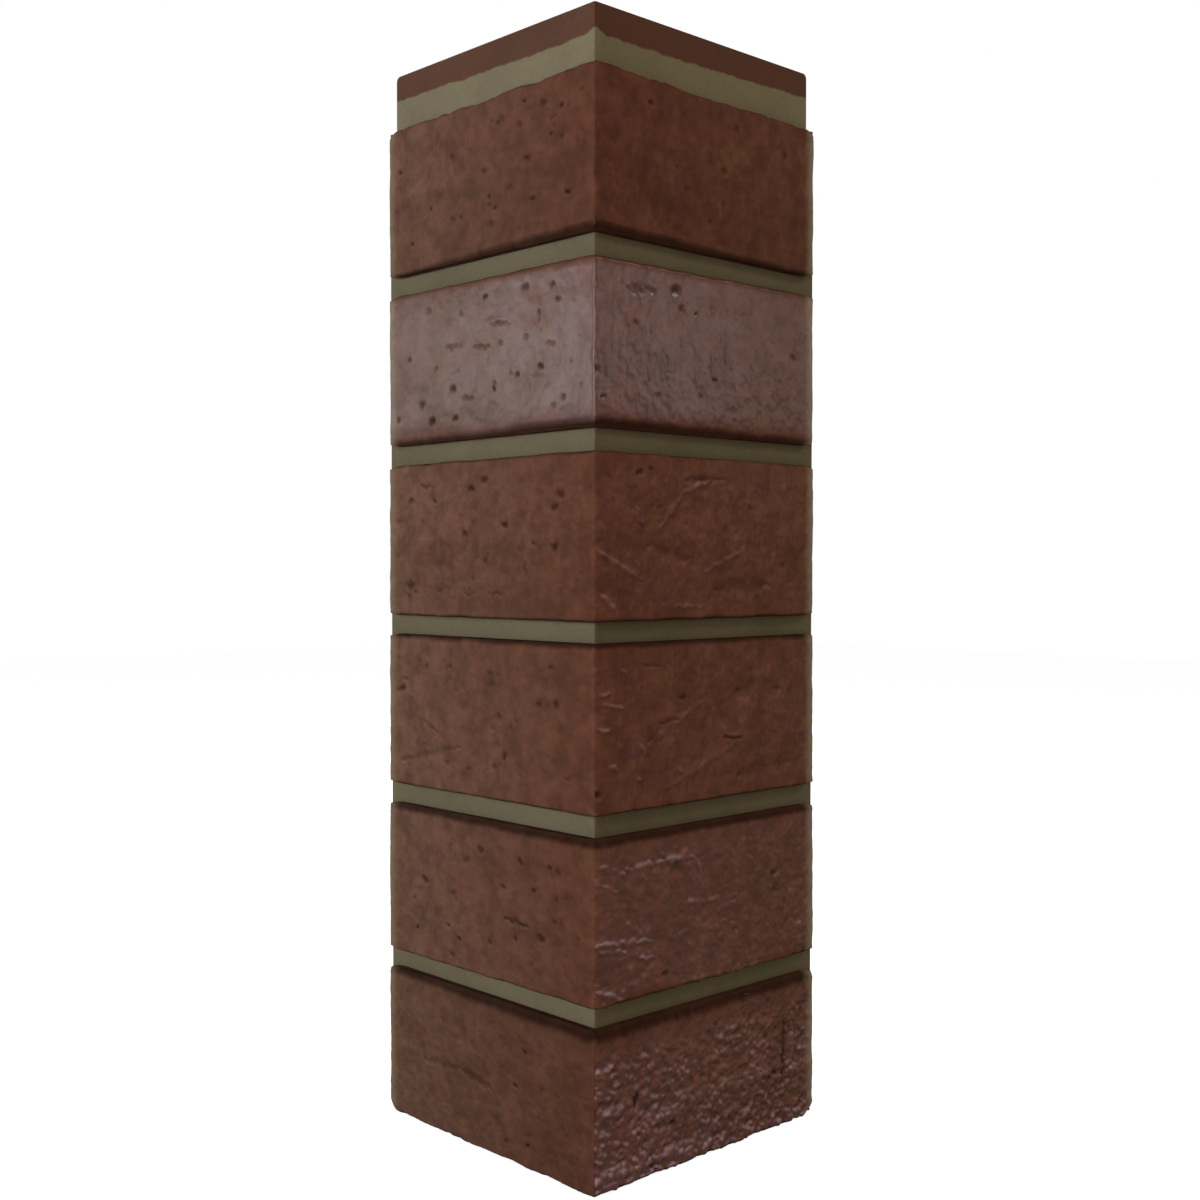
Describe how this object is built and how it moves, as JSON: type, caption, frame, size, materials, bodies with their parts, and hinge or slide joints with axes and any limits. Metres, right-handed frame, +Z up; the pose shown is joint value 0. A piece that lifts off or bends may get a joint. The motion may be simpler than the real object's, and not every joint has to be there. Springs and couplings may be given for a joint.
{
  "type": "brick veneer outside corner panel",
  "caption": "L-shaped moulded cladding panel with raised brick courses and recessed mortar joints, for an outside wall corner, with an overlap flange on top.",
  "frame": {"origin": "on the floor under the panel, at the middle of the square that the two legs span", "axes": "+Z up along the corner, from the lowest course to the flange; the outer corner line is at +X and -Y, one leg faces -Y and the other +X"},
  "size_m": [0.1244, 0.1244, 0.4189],
  "materials": {
    "brick_paint": "satin red-brown paint on a moulded brick texture",
    "mortar_paint": "matt olive-grey mortar paint"
  },
  "bodies": {
    "root": {"corner_panel": "brick_paint"}
  },
  "joints": []
}
